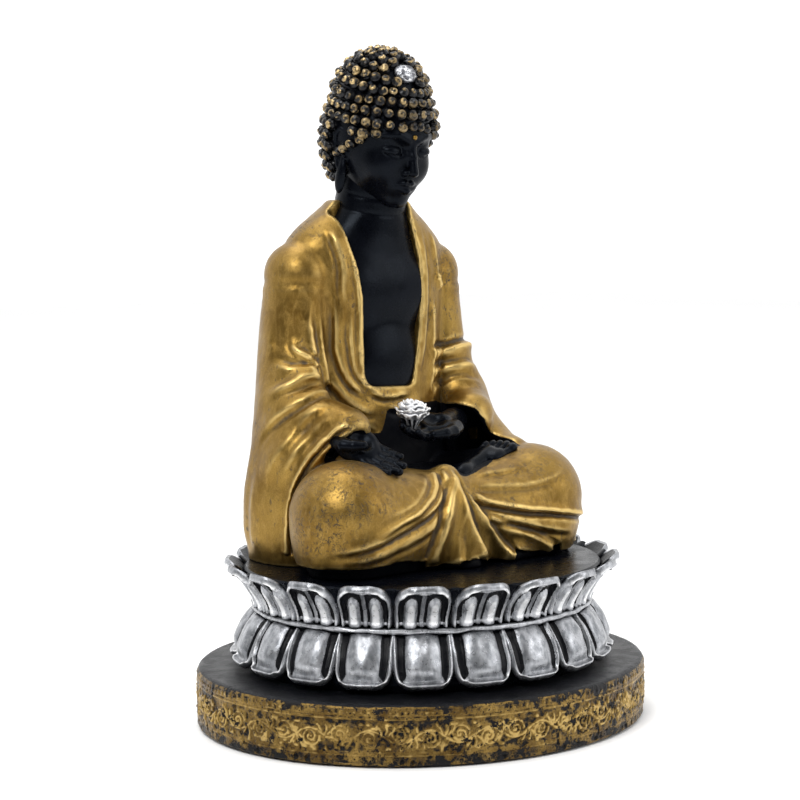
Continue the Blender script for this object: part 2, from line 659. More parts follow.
def upper_relief(s, t, edge):
    """Two round-topped lobes in a dark bowl, inside a rolled rim whose lip droops into a stem."""
    side = np.abs(s)
    wide = 1.3 + 1.3 * smooth(0.72, 0.92, t)
    droop = 0.17 * np.exp(-(s / 2.0) ** 2) + 0.05 * np.exp(-(s / 5.0) ** 2)
    rim = smooth(wide + 0.25, wide - 0.25, edge - 14 * droop * smooth(0.6, 0.9, t))
    bead = np.exp(-((edge - 0.85) / 0.65) ** 2)
    bead = bead + 0.7 * np.exp(-((edge - wide - 8 * droop + 0.5) / 0.5) ** 2) * smooth(0.65, 0.85, t)
    lobe = np.sqrt(np.clip(1 - ((side - 4.0) / 2.45) ** 2 - (np.clip(t - 0.40, 0, 1) / 0.26) ** 2, 0, 1))
    stem = smooth(0.95, 0.55, side) * smooth(0.95, 0.8, t)
    foot = smooth(0.10, 0.04, t)
    height = 1.5 * bead + 0.5 * rim + 2.0 * lobe + 1.0 * stem * (1 - rim) + 0.4 * foot - 0.9
    height = np.where(edge < 0.7, height - (0.7 - edge) * 0.7, height)
    paint = np.maximum(np.maximum(rim, foot), np.maximum(stem * 0.9, smooth(0.12, 0.38, lobe)))
    return height, np.clip(paint, 0, 1), 0.22 * np.clip(bead, 0, 1) + 0.15 * smooth(0.55, 0.95, lobe) - 0.03


def lower_relief(s, t, edge):
    """One broad swelling, dark at both sides, that runs out into the turned and rolled lip."""
    side = np.abs(s)
    rim = np.exp(-((edge - 0.85) / 0.62) ** 2)
    inner = 5.5 + 0.6 * np.sin(math.pi * t) + 2.6 * smooth(0.74, 0.97, t)
    swell = np.sqrt(np.clip(1 - (s / (inner + 0.5)) ** 2, 0, 1))
    swell = swell * smooth(-0.25, 0.10, t) * smooth(1.04, 0.62, t)
    cleft = 0.35 * np.exp(-(s / 1.6) ** 2) * smooth(0.60, 0.25, t)
    lip = smooth(0.84, 0.93, t)
    height = 1.5 * rim + 2.7 * swell + 0.7 * lip - cleft - 0.7
    height = np.where(edge < 0.7, height - (0.7 - edge) * 0.7, height)
    stripe = smooth(-0.15, 0.25, side - inner) * smooth(1.45, 1.75, edge) * smooth(0.95, 0.86, t)
    groove = np.exp(-((edge - 2.0) / 0.30) ** 2) * smooth(0.70, 0.9, t) * 0.45
    bright = 0.22 * rim - 0.10 * smooth(0.75, 0.1, swell) * (1 - rim) - 0.4 * groove
    return height - groove, np.clip(1 - stripe, 0, 1), bright


def petal_ring(name, profile, half_width, relief):
    rng = np.random.default_rng(len(name))
    v, f, paint, bright = petal_mesh(profile, half_width, relief, 1.5)
    vs, fs, paints = [], [], []
    for k in range(PETALS):
        angle = 2 * math.pi * k / PETALS
        out = np.array([OVAL * math.cos(angle), math.sin(angle)])
        out /= np.hypot(*out)
        across = np.array([-out[1], out[0]])
        stretch = math.hypot(math.sin(angle), OVAL * math.cos(angle)) * 1.075
        w = v.copy()
        w[:, 0] *= stretch
        w += noise(v + rng.uniform(0, 90, 3), 4.0, k)[:, None] * np.array([0.22, 0.16, 0.20])
        reach = w[:, 1]
        spot = np.array([math.cos(angle), OVAL * math.sin(angle)])
        sit = reach.mean()
        base = spot * sit
        xy = base + out * (reach - sit)[:, None] + across * w[:, :1]
        vs.append(np.column_stack([xy, w[:, 2]]))
        fs.append(f + k * len(v))
        paints.append(paint + rng.normal(0, 0.02))
    v, f = np.vstack(vs), np.vstack(fs)
    piece(name, v, f, "silver_paint",
          {"paint": np.concatenate(paints), "relief": np.tile(bright, PETALS) + 0.5 * relief_of(v, f, 3)})


def build_throne():
    def outline(points):
        line = spline(points, 80)
        return lambda t: np.interp(t, line[:, 0], line[:, 1])

    petal_ring("upper_petals", [(67.0, 45.2), (69.0, 50.0), (72.4, 54.8), (76.2, 58.6), (78.4, 60.0)],
               outline([(0, 9.2), (0.35, 9.8), (0.55, 9.8), (0.72, 9.2), (0.84, 8.0), (0.93, 6.2),
                        (0.98, 4.6), (1, 3.2)]),
               upper_relief)
    petal_ring("lower_petals", [(66.8, 41.9), (70.6, 37.0), (73.2, 31.0), (74.0, 27.0), (75.4, 24.7)],
               outline([(0, 10.3), (0.4, 10.6), (0.7, 10.3), (0.86, 9.2), (0.95, 7.2), (0.985, 5.6),
                        (1, 4.0)]),
               lower_relief)

    around, ring = 720, 16
    tt, ww = np.meshgrid(full_turn(around), full_turn(ring), indexing="ij")
    flat = turned(70, 60, tt, ww)
    wobble = noise(flat, 6.0, 2).reshape(tt.shape) * 0.28
    thick = 0.95 + noise(flat, 4.0, 4).reshape(tt.shape) * 0.22
    r = 66.8 + 1.1 * thick * np.cos(ww) + wobble * 0.4
    z = WAIST + wobble + thick * np.sin(ww)
    v = turned(r, OVAL * r, tt, z)
    i, j = np.meshgrid(np.arange(around), np.arange(ring), indexing="ij")
    a = i * ring + j
    b = i * ring + (j + 1) % ring
    up = ring * ((i + 1) % around)
    f = np.stack([a, up + j, up + (j + 1) % ring, b], -1).reshape(-1, 4)
    piece("waist_band", v, f, "silver_paint",
          {"paint": np.full(len(v), 0.95), "relief": np.full(len(v), 0.05)})


# ------------------------------------------------------------------ the robe

# TRUNK and SLEEVE are rows for column. OPENING is height, left, right. HEM is x and height. FAR_LIP is height
# and x at the mouth of the left sleeve. LAP is the dark lap's outline from above.
TRUNK = [(56, 37, 23, 0, 34), (95, 36, 22, 0, 35.5), (123, 34, 21, 0, 37), (150, 36, 20.5, 0, 37.5),
         (166, 37, 20, 0, 37.5), (177, 36, 19, 0, 37.5), (184.5, 29, 17.8, 0, 37),
         (190.5, 19.5, 15.8, 0, 35.8), (194, 15.5, 14.4, 0, 35)]
SLEEVE = [(56, 6.5, 15, 47.4, 29), (68, 8.5, 15.5, 47.8, 29), (83, 10.5, 17, 47.0, 27.5),
          (101, 12.4, 19, 43.9, 25), (119, 12, 16, 39.0, 32), (141, 11.6, 14.4, 34.4, 37.5),
          (161, 11.0, 13.4, 33.0, 37.5)]
OPENING = [(120, -12, 9), (127, -14.6, 9), (142, -15, 12), (157, -15, 14), (172, -17.8, 13.2),
           (188, -20.8, 10), (197, -23, 12)]
HEM = [(-68, 62.5), (-60, 63.5), (-46, 63.5), (-30, 64.5), (-19.5, 63), (-18.5, 60.6), (-6, 61.6), (6, 63.5),
       (7, 61), (22, 59.8), (23, 63.6), (29, 62.3), (40, 61.5), (45, 64), (46.5, 60.8), (68, 61.5)]
FAR_LIP = [(60, 30), (96, 41), (102, 40), (105, 37), (108, 33.5), (111, 31), (114, 29), (116, 24),
           (117.5, 10)]
LAP = [(-15, 20), (-21, 2), (-14, -9), (-4, -12), (3, -17), (20, -14), (37, -6), (44, 8), (34, 24), (0, 26)]


def chest_field(p):
    d = column(p, [(60, 33, 19.5, 0, 33), (95, 31, 18.5, 0, 35), (125, 29, 16.6, 0, 36.8),
                   (150, 31, 17.6, 0, 37.2), (170, 31, 17.2, 0, 37), (181, 22, 15, 0, 36),
                   (190, 14.5, 13.6, 0, 34), (200, 13.4, 13.2, 0, 32.0), (209, 12.6, 12.6, 0, 30.5)])
    for side in (-1, 1):
        d = blend(d, egg(p, (side * 9.5, 22.8, 160), (10.5, 3.4, 8.5)), 6.0)
    d = blend(d, egg(p, (0, 23.0, 131), (15, 4.8, 11)), 7.0)
    for level in (190.5, 196.5):
        d = d + 0.4 * np.exp(-((p[:, 2] - level - 0.25 * (p[:, 1] - 30)) / 0.7) ** 2)
    return d


def sleeve_parts(p, side):
    """A wide sleeve from shoulder to seat, and the hollow of its mouth at the wrist."""
    q = p * vec(side, 1, 1)
    d = column(q, SLEEVE)
    d = eggs(d, q, ((32.2, 37.5, 165.5), (11.7, 13.4, 12.6), 3.0), ((41, 30, 118), (11.0, 11.6, 10.6), 4.0))
    if side < 0:
        d = blend(d, limb(q, (41, 27, 115), (35, 2, 110.0), 10.2, 8.4), 4.0)
        d = blend(d, limb(q, (46, 22, 96), (42, 6, 104), 8.0, 5.5), 5.0)
        lip = np.interp(q[:, 2], [60, 77, 90, 101, 109, 113, 122], [13, 12.5, 8.5, 3.5, -4, -7, -9])
    else:
        d = blend(d, limb(q, (41, 27, 115), (33, 12, 111), 10.2, 9.0), 4.0)
        d = blend(d, limb(q, (46, 20, 98), (43, -1, 95), 9.0, 8.0), 6.0)
        lip = q[:, 1] + np.where(q[:, 1] < 21, read(FAR_LIP, q[:, 2]) - q[:, 0], -30) / 0.75
    ahead = ((lip - q[:, 1]) * 0.75).astype(np.float32)
    hollow = np.maximum(d + 1.9, -ahead - 11.0)
    hollow = np.maximum(hollow, 88 - q[:, 2]) if side > 0 else hollow
    return both(d, ahead, 1.5), hollow


def legs_field(p):
    """Both folded legs under the skirt, which hangs from their widest line to a hem just above the seat."""
    q = p.copy()
    q[:, 2] = np.where(p[:, 2] < 79, 79 - (79 - p[:, 2]) * 0.55, p[:, 2])
    d = None
    for side, shin in ((-1, 48), (1, 40)):
        bones = [(side * 20, 27, 78), (side * 45, -9.5, 80.5), (side * (45 - shin), -8.5, 76.5)]
        leg = chain(q, bones, [17, 19.8, 16.0], 2.0)
        d = leg if d is None else blend(d, leg, 3.0)
    d = blend(d, limb(p, (-1, -13, 92), (1, -20, 60), 4.5, 10.0), 5.0)
    d = blend(d, limb(p, (24, -20, 61.5), (61, -11, 61.5), 7.5, 5.6), 2.5)
    under = smooth(0.25, -0.25, p[:, 2] - read(HEM, p[:, 0])) * (p[:, 1] < 22)
    d = d + (2.4 * under).astype(np.float32)
    return both(d, SEAT - p[:, 2], 0.8)


def opening_field(p):
    x, y, z = p.T
    sides = np.maximum(read(OPENING, z) - x, x - read(OPENING, z, 2)).astype(np.float32)
    return both(sides, np.maximum(123.5 - z, y - 34), 4.0)


def robe_field(p):
    d = carve(column(p, TRUNK), opening_field(p), 1.2)
    sleeves = [sleeve_parts(p, side) for side in (-1, 1)]
    for solid, _ in sleeves:
        d = blend(d, solid, 1.8)
    for _, hollow in sleeves:
        d = carve(d, hollow, 0.8)
    d = blend(d, legs_field(p), 1.2)
    return both(d, SEAT + 0.05 - p[:, 2], 0.5)


def inside(points, x, y):
    """1 inside a plan outline, 0 outside."""
    hit = np.zeros(len(x), dtype=bool)
    for (x1, y1), (x2, y2) in zip(points, points[1:] + points[:1]):
        if y1 != y2:
            hit ^= ((y1 > y) != (y2 > y)) & (x < (x2 - x1) * (y - y1) / (y2 - y1) + x1)
    return hit


# Each fold: its line over the cloth, height, width, how deep the crease beside it is, on which side, and
# how far along each end it fades.
FOLDS = [
    # upper right sleeve: pinched at the inside of the elbow
    ([(-48, 34, 133), (-44, 24, 131), (-36, 20, 131)], 1.3, 2.0, 0.9, 1, (.5, .05)),
    ([(-44, 28, 141), (-41, 24, 137), (-35, 20, 132)], 1.2, 1.8, 0.8, 1, (.5, .05)),
    ([(-43, 24, 144), (-42, 25, 139), (-37, 22, 134)], 0.9, 1.6, 0.7, -1, (.5, .1)),
    ([(-53, 30, 121), (-46, 21, 126), (-36, 20, 129)], 1.3, 2.4, 0.8, -1, (.5, .05)),
    ([(-36, 24, 158), (-37, 22, 148), (-35, 20, 136)], 1.0, 2.2, 0.6, 1, (.6, .1)),
    ([(-53, 36, 150), (-53, 34, 141), (-51, 30, 133)], 0.7, 2.6, 0.4, 1, (.5, .5)),
    # forearm: long sweeps from the elbow's inside round the outside and down to the seat
    ([(-34, 19, 127), (-42, 20, 128), (-48, 22, 125), (-52, 30, 121)], 1.2, 2.6, 0.8, -1, (.1, .5)),
    ([(-32, 17, 122), (-44, 15, 121), (-51, 21, 116), (-54, 27, 110),
      (-55, 32, 103)], 1.3, 2.2, 0.9, 1, (.1, .4)),
    ([(-37, 5, 120), (-44, 9, 118), (-48, 13, 113), (-53, 16, 105), (-57, 22, 94),
      (-57, 25, 82)], 1.1, 2.6, 0.7, 1, (.2, .5)),
    ([(-41, 2, 117), (-46, 6, 112), (-50, 10, 106), (-54, 13, 98),
      (-56, 18, 88)], 0.8, 2.2, 0.7, 1, (.3, .5)),
    ([(-57, 32, 62), (-58, 31, 78), (-57, 29, 90), (-56, 28, 100)], 0.9, 3.0, 0.5, 1, (.2, .5)),
    ([(-54, 42, 62), (-56, 41, 80), (-56, 37, 98), (-54, 33, 112)], 0.9, 3.4, 0.5, 1, (.2, .5)),
    # turned edge of the right sleeve's mouth, down beside the knee
    ([(-39, -5, 113), (-43, -1, 110), (-47, 4, 104), (-50, 8, 98), (-52, 12, 90), (-53, 14, 81),
      (-53, 15, 73), (-52, 16, 63)], 1.1, 1.0, 1.8, 1, (.05, .02)),
    # right front: band and gathers
    ([(-27, 26, 187), (-25, 23, 180), (-23, 20, 170), (-23, 19, 158),
      (-22, 19, 146)], 1.3, 1.8, 0.9, -1, (.2, .5)),
    ([(-18, 20, 178), (-16, 19, 165), (-16, 19, 150), (-16, 18, 136),
      (-14, 17, 126)], 0.8, 1.4, 0.7, -1, (.2, .2)),
    ([(-26, 21, 164), (-26, 20, 150), (-26, 20, 138), (-22, 18, 127),
      (-13, 16, 119)], 1.2, 1.7, 0.9, -1, (.4, .2)),
    ([(-20, 19, 156), (-20, 19, 140), (-18, 18, 129), (-11, 16, 122)], 1.0, 1.4, 0.8, -1, (.4, .2)),
    ([(-31, 23, 158), (-30, 21, 146), (-30, 21, 132), (-24, 19, 121), (-16, 16, 115),
      (-7, 16, 114)], 1.3, 1.8, 0.9, -1, (.5, .2)),
    ([(-29, 20, 118), (-23, 17, 112), (-14, 15, 109), (-8, 15, 108)], 1.2, 1.8, 0.8, -1, (.3, .3)),
    ([(-14, 17, 123), (-8, 16, 120), (0, 16, 120), (8, 16, 121)], 0.9, 1.4, 0.6, -1, (.2, .3)),
    ([(-8, 16, 116), (0, 15, 115), (8, 15, 116), (15, 16, 119)], 0.9, 1.5, 0.6, -1, (.3, .3)),
    # left front: narrow band, knotted cord line and the far sleeve's elbow
    ([(15, 22, 184), (16, 20, 172), (17, 19, 160), (16, 19, 148), (14, 19, 136),
      (11, 17, 126)], 0.8, 1.4, 0.7, 1, (.2, .2)),
    ([(22, 25, 183), (24, 23, 173), (25, 23, 164)], 0.9, 1.0, 0.9, 1, (.3, .1)),
    ([(24, 22, 166), (27, 22, 162), (28, 23, 159)], 1.8, 1.0, 0.9, 1, (.2, .3)),
    ([(22, 21, 158), (21, 20, 146), (21, 20, 133), (19, 18, 119)], 1.4, 1.2, 1.0, 1, (.2, .1)),
    ([(20, 20, 135), (31, 22, 136), (41, 25, 137), (47, 32, 136)], 1.9, 1.9, 1.1, 1, (.1, .3)),
    ([(19, 20, 127), (30, 21, 129), (40, 21, 129), (47, 26, 126)], 1.2, 2.0, 0.8, 1, (.1, .4)),
    ([(18, 19, 119), (30, 20, 123), (38, 17, 123), (46, 19, 120)], 1.0, 2.2, 0.7, 1, (.1, .4)),
    # right leg: long folds that sweep from the lap round under the knee
    ([(-4, -14, 95), (-10, -22, 89), (-18, -26, 83), (-31, -29, 78), (-44, -29, 74), (-55, -25, 71),
      (-62, -17, 70)], 1.7, 2.0, 0.9, 1, (.1, .3)),
    ([(-8, -13, 95), (-15, -23, 89), (-25, -27, 83), (-38, -29, 79),
      (-50, -27, 75)], 1.5, 1.8, 0.9, 1, (.1, .4)),
    ([(-14, -15, 94), (-20, -23, 90), (-29, -27, 85), (-41, -29, 82),
      (-50, -26, 79)], 1.1, 1.8, 0.7, 1, (.2, .5)),
    ([(-8, -25, 82), (-18, -26, 76), (-31, -28, 71), (-45, -28, 68),
      (-58, -21, 67)], 1.1, 1.8, 0.8, 1, (.3, .4)),
    # front: pleats that fan out to the hem
    ([(-3, -15, 95), (-8, -24, 85), (-13, -26, 74), (-18, -26, 61)], 2.0, 2.2, 1.0, -1, (.2, .08)),
    ([(-2, -15, 95), (-2, -24, 84), (1, -27, 73), (6, -28, 62)], 2.0, 2.0, 1.0, 1, (.2, .08)),
    ([(0, -21, 87), (6, -26, 78), (13, -27, 69), (22, -27, 60)], 1.6, 1.8, 1.0, 1, (.2, .08)),
    ([(-1, -24, 84), (-5, -27, 74), (-7, -28, 62)], 0.9, 2.2, 0.5, 1, (.4, .0)),
    ([(3, -25, 80), (14, -26, 74), (28, -27, 69), (40, -28, 63)], 1.1, 1.8, 0.8, 1, (.2, .0)),
    # left leg: the knee's own cloth over the lower hem
    ([(1, -22, 86), (12, -25, 82), (26, -27, 79), (42, -29, 77), (54, -25, 75),
      (62, -15, 73)], 1.5, 1.4, 1.5, -1, (.1, .25)),
    ([(5, -25, 78), (20, -26, 75), (37, -28, 71), (52, -25, 69)], 1.2, 1.7, 0.9, -1, (.2, .3)),
    ([(3, -20, 89), (17, -23, 88), (30, -26, 88), (43, -27, 91),
      (52, -20, 94)], 1.1, 1.9, 0.7, -1, (.2, .5)),
    ([(10, -17, 92), (22, -19, 92), (33, -20, 93)], 0.8, 1.6, 0.6, -1, (.3, .5)),
    # back: long shallow folds from the shoulders
    ([(-24, 55, 180), (-18, 58, 160), (-10, 58, 135), (-6, 58, 105),
      (-4, 57, 62)], 0.9, 3.4, 0.6, 1, (.3, .1)),
    ([(24, 55, 178), (16, 58, 155), (8, 58, 128), (8, 58, 95), (10, 57, 62)], 0.9, 3.2, 0.6, -1, (.3, .1)),
    ([(-32, 50, 166), (-29, 54, 140), (-25, 56, 110), (-22, 56, 62)], 1.0, 3.2, 0.6, 1, (.3, .1)),
    ([(32, 50, 166), (30, 54, 138), (27, 56, 105), (25, 56, 62)], 1.0, 3.2, 0.6, -1, (.3, .1)),
    ([(55, 36, 150), (56, 34, 128), (57, 30, 104), (57, 30, 62)], 0.9, 3.0, 0.5, -1, (.4, .1)),
]


# Places where the gold is cracked and rubbed through: x, y, z and how far it spreads.
WORN = [(-57, -22, 84, 7), (18, -17, 93, 5), (27, -18, 93, 6), (5, -23, 86, 5), (-12, 17, 122, 8),
        (-55, 22, 131, 6), (16, -27, 75, 5), (46, 12, 118, 6), (36, -20, 86, 8), (46, -17, 88, 8),
        (53, -11, 91, 7), (40, -14, 92, 6), (55, -14, 72, 6), (-36, -31, 88, 6), (20, 20, 150, 6),
        (-20, 20, 168, 5), (-48, -26, 66, 8), (30, -28, 66, 5)]


def fold_relief(v, n, tree):
    """The height that the folds add at every vertex, along its normal."""
    total = np.zeros(len(v))
    for points, height, width, crease, side, (fade_in, fade_out) in FOLDS:
        line = spline(points, 12 * len(points))
        snapped = np.array([tree.find(Vector(p))[0] for p in line])
        facing = np.array([n[tree.find(Vector(p))[1]] for p in line])
        for _ in range(3):
            snapped[1:-1] = (snapped[:-2] + snapped[1:-1] * 2 + snapped[2:]) / 4
            facing[1:-1] = (facing[:-2] + facing[1:-1] * 2 + facing[2:]) / 4
        reach = 3.5 * width + 1
        near = np.flatnonzero(((v > snapped.min(0) - reach) & (v < snapped.max(0) + reach)).all(1))
        p = v[near]
        best, along, out = np.full(len(p), 1e9), np.zeros(len(p)), np.zeros(len(p))
        span = np.concatenate([[0], np.cumsum(length(np.diff(snapped, axis=0)))])
        for i in range(len(snapped) - 1):
            run = snapped[i + 1] - snapped[i]
            t = np.clip((p - snapped[i]) @ run / max(run @ run, 1e-9), 0, 1)
            off = p - snapped[i] - t[:, None] * run
            d = length(off)
            better = (d < best) & (n[near] @ facing[i] > 0.25)
            sideways = np.cross(facing[i], run)
            sign = np.sign(off @ sideways)
            best = np.where(better, d, best)
            out = np.where(better, sign * d, out)
            along = np.where(better, (span[i] + t * (span[i + 1] - span[i])) / span[-1], along)
        out = out * side
        soft = np.exp(-(out / (1.7 * width)) ** 2)
        sharp = np.exp(-(out / (0.75 * width)) ** 2)
        sharp = sharp - crease * 0.55 * np.exp(-((out - 1.35 * width) / (0.62 * width)) ** 2)
        shape = np.where(out < 0, soft, sharp)
        ends = 1.0
        if fade_in:
            ends = ends * smooth(0, fade_in, along)
        if fade_out:
            ends = ends * smooth(1, 1 - fade_out, along)
        total[near] += np.where(best < reach, height * shape * ends, 0)
    return total


def build_robe():
    v, f = sculpt(robe_field, (-70, -36, 57), (70, 64, 200), 0.6)
    p = v.astype(np.float32)
    n = normals_of(v, f)
    for _ in range(2):
        n = neighbours_mean(n, f)
    n /= np.maximum(length(n), 1e-9)[:, None]
    tree = KDTree(len(v))
    for i, q in enumerate(v):
        tree.insert(q, i)
    tree.balance()
    x, y, z = v.T
    sleeves = [sleeve_parts(p, side) for side in (-1, 1)]
    cavity = np.minimum(sleeves[0][1], sleeves[1][1]) < 0.5
    up = fold_relief(v, n, tree)
    cloth = ~cavity
    up += 0.22 * noise(v, (11, 11, 16), 1) + 0.09 * noise(v, (4.5, 4.5, 6), 2) + 0.04 * noise(v, 1.6, 3)
    sleeve = np.minimum(sleeves[0][0], sleeves[1][0])
    skirt = legs_field(p) < np.minimum(column(p, TRUNK), sleeve) + 0.6
    under = skirt & (y < 22) & (z < read(HEM, x) + 0.15)
    up *= (z >= SEAT + 0.6) * cloth * np.where(under, 0.2, 1)
    v = v + n * up[:, None]
    v[:, 2] = np.maximum(v[:, 2], SEAT)

    roof = 106.5 + 8.5 * smooth(-9, -5, x)
    lap = inside(LAP, x, y) & (z < roof) & (sleeve > 0.35)
    mouth = (x > 2) & (x < read(FAR_LIP, z) + 0.7) & (y < 29) & (z < 116.5) & (z > 92) & (y > -9)
    mouth |= (length((v - vec(-37.5, 3, 101.5)) / vec(7, 6, 7)) < 1) & (y > -3)
    bare = np.where(lap | under | mouth | (cavity & ((z > 98) | (x > 0))), 1.0, 0.0)
    worn = sum(np.exp(-((x - a) ** 2 + (y - b) ** 2 + (z - c) ** 2) / r ** 2) for a, b, c, r in WORN)
    for _ in range(2):
        bare = neighbours_mean(bare, f)[:, 0]
    owner, names = robe_owner(v[f].mean(1).astype(np.float32))
    split(v, f, owner, names, "gold_paint",
          {"relief": relief_of(v, f, 5), "valley": relief_of(v, f, 26), "bare": bare,
           "worn": np.minimum(worn, 1)})


def robe_owner(p):
    """Which robe piece a place belongs to."""
    legs, trunk = legs_field(p), column(p, TRUNK)
    names = ["robe_body", "right_sleeve", "left_sleeve", "right_leg_drape", "left_leg_drape", "front_pleats",
             "collar_right", "collar_left", "waist_wrap", "robe_hem"]
    x, y, z = p.T
    parts = [trunk, sleeve_parts(p, -1)[0], sleeve_parts(p, 1)[0]]
    parts += [np.where(x < 0, legs, 99), np.where(x >= 0, legs, 99)]
    owner = np.argmin(parts, axis=0)
    front = (y < 33) & (owner == 0)
    owner[front & (z > 123) & (x < 0) & (x > read(OPENING, z) - 6.5)] = 6
    owner[front & (z > 123) & (x >= 0) & (x < read(OPENING, z, 2) + 6.5)] = 7
    owner[front & (z <= 123) & (z > 106)] = 8
    leg = (owner == 3) | (owner == 4)
    owner[leg & (np.abs(x - 1) < 5 + (92 - z) * 0.5) & (y < -12) & (z < 92)] = 5
    owner[leg & (z < read(HEM, x))] = 9
    return owner, names


def build_body():
    v, f = sculpt(chest_field, (-36, 8, 100), (36, 58, 212), 0.7)
    owner = (v[f].mean(1)[:, 2] > 188).astype(int)
    split(v, f, owner, ["chest_body", "neck"], "black_paint", {"relief": np.zeros(len(v))})


# ------------------------------------------------------------------ head and hair

HEAD_AT = np.array([0, 26.5, 217.0])
NOD = math.radians(13)
HEAD_TURN = np.array([[1, 0, 0], [0, math.cos(NOD), -math.sin(NOD)], [0, math.sin(NOD), math.cos(NOD)]])


def from_head(v):
    return v @ HEAD_TURN.T + HEAD_AT


def head_field(q):
    """A calm, plain face on even thirds, with lowered lids and long ears."""
    d = egg(q, (0, 0, 2.5), (17.2, 19.4, 22))
    d = eggs(d, q, ((0, -3.2, -8.5), (13.6, 14.8, 16.2), 5), ((0, -13.2, -20.0), (4.8, 4.2, 3.6), 4),
             ((0, -15.0, -14.2), (6.6, 4.6, 4.2), 3))
    for s in (-1, 1):
        d = blend(d, egg(q, (s * 7.6, -11.8, -8), (5.6, 5.2, 6)), 4)
        d = carve(d, egg(q, (s * 6.9, -19.6, 0.0), (4.8, 2.9, 2.7)), 2.0)
        brow = [(s * 2.2, -18.9, 3.2), (s * 6.4, -17.8, 5.2), (s * 11.6, -14.4, 4.4)]
        d = blend(d, chain(q, brow, [0.8, 1.0, 0.8]), 1.8)
        d = blend(d, egg(q, (s * 6.9, -14.9, -1.3), (4.3, 3.4, 2.6)), 0.5)
        crease = [(s * 3.6, -17.4, 0.4), (s * 7.0, -18.0, 1.5), (s * 10.6, -15.6, 0.5)]
        d = carve(d, chain(q, crease, [0.2, 0.3, 0.2], 0.2), 0.5)
    d = blend(d, chain(q, [(0, -18.0, 3.0), (0, -20.0, -2.5), (0, -21.8, -8.2)], [1.2, 1.35, 1.85], 1.0), 1.5)
    for s in (-1, 1):
        d = blend(d, egg(q, (s * 2.2, -19.6, -8.9), (1.5, 1.9, 1.4)), 0.9)
        d = carve(d, egg(q, (s * 1.15, -20.9, -10.5), (0.6, 0.9, 0.7)), 0.4)
        lid = [(s * 3.1, -17.3, -2.0), (s * 5.0, -18.3, -2.7), (s * 7.2, -18.3, -2.9), (s * 9.2, -17.1, -2.4),
               (s * 10.8, -15.6, -1.7)]
        d = carve(d, chain(q, lid, [0.30, 0.42, 0.44, 0.40, 0.28], 0.2), 0.3)
    upper = [(-4.5, -18.2, -13.8), (-1.6, -19.4, -12.8), (0, -19.5, -13.1), (1.6, -19.4, -12.8),
             (4.5, -18.2, -13.8)]
    d = blend(d, chain(q, upper, [0.45, 0.95, 0.85, 0.95, 0.45], 0.5), 0.6)
    lower = [(-3.7, -18.3, -15.0), (0, -19.1, -15.7), (3.7, -18.3, -15.0)]
    d = blend(d, chain(q, lower, [0.5, 1.2, 0.5], 0.8), 0.6)
    line = [(-5.0, -18.4, -13.7), (-2.2, -20.1, -14.0), (0, -20.4, -14.25), (2.2, -20.1, -14.0),
            (5.0, -18.4, -13.7)]
    d = carve(d, chain(q, line, [0.22, 0.3, 0.32, 0.3, 0.22], 0.2), 0.35)
    d = carve(d, limb(q, (0, -20.3, -10.8), (0, -20.2, -12.0), 0.45, 0.5), 0.5)
    m = q.copy()
    m[:, 0] = np.abs(m[:, 0])
    ear = egg(m, (16.4, 1.6, -3.0), (1.7, 3.6, 6.2))
    ear = blend(ear, egg(m, (17.0, 0.2, -14.6), (1.7, 2.6, 6.6)), 1.6)
    ear = carve(ear, egg(m, (18.5, 0.9, -2.4), (1.5, 1.9, 3.9)), 0.8)
    helix = [(16.6, -1.8, -0.6), (17.6, -0.6, 2.4), (18.3, 2.2, 3.4), (18.8, 4.4, 0.8), (18.5, 4.2, -3.4),
             (17.9, 3.0, -7.6), (17.6, 1.8, -11.0)]
    ear = blend(ear, chain(m, helix, [0.7, 0.95, 1.05, 1.1, 1.0, 1.0, 1.0], 0.5), 0.6)
    inner = [(18.0, 1.8, 0.8), (18.2, 2.3, -2.2), (17.9, 1.2, -5.4), (17.5, -0.8, -6.4)]
    ear = blend(ear, chain(m, inner, [0.6, 0.7, 0.75, 0.7], 0.4), 0.5)
    ear = blend(ear, egg(m, (17.2, -1.9, -3.2), (0.8, 0.9, 1.5)), 0.6)
    return blend(d, ear, 1.0)


# The hair cap is an ellipsoid, cut off by a slanting hairline.
CAP_AT, CAP_HALF = (0, 2, 1), (18.9, 21.3, 24.6)
HAIRLINE = math.radians(34)
CROWN_AT = (0, 4.3, 14.4)


def hairline(y):
    """The hairline's height in the head's own frame."""
    return 8.8 - math.tan(HAIRLINE) * (y + 19.6)


def hair_field(q):
    d = egg(q, CAP_AT, CAP_HALF)
    d = blend(d, egg(q, CROWN_AT, (16.8, 16.8, 16.8)), 2.5)
    above = (hairline(q[:, 1]) - q[:, 2]) * math.cos(HAIRLINE)
    nape = np.maximum(5.0 - q[:, 1], -17.5 - q[:, 2])
    return both(d, blend(above, nape, 3.0), 1.0)


def islands(mesh):
    """The middle of every unconnected part of a mesh, in mm; a CAD curl has two, its dome and its base."""
    v = np.empty(len(mesh.vertices) * 3)
    mesh.vertices.foreach_get("co", v)
    edges = np.empty(len(mesh.edges) * 2, dtype=np.int64)
    mesh.edges.foreach_get("vertices", edges)
    v, edges = v.reshape(-1, 3) / MM, edges.reshape(-1, 2)
    label = np.arange(len(v))
    while True:
        low = np.minimum(label[edges[:, 0]], label[edges[:, 1]])
        new = label.copy()
        np.minimum.at(new, edges[:, 0], low)
        np.minimum.at(new, edges[:, 1], low)
        new = new[new]
        if (new == label).all():
            break
        label = new
    return [(v[label == k].min(0) + v[label == k].max(0)) / 2 for k in np.unique(label)]


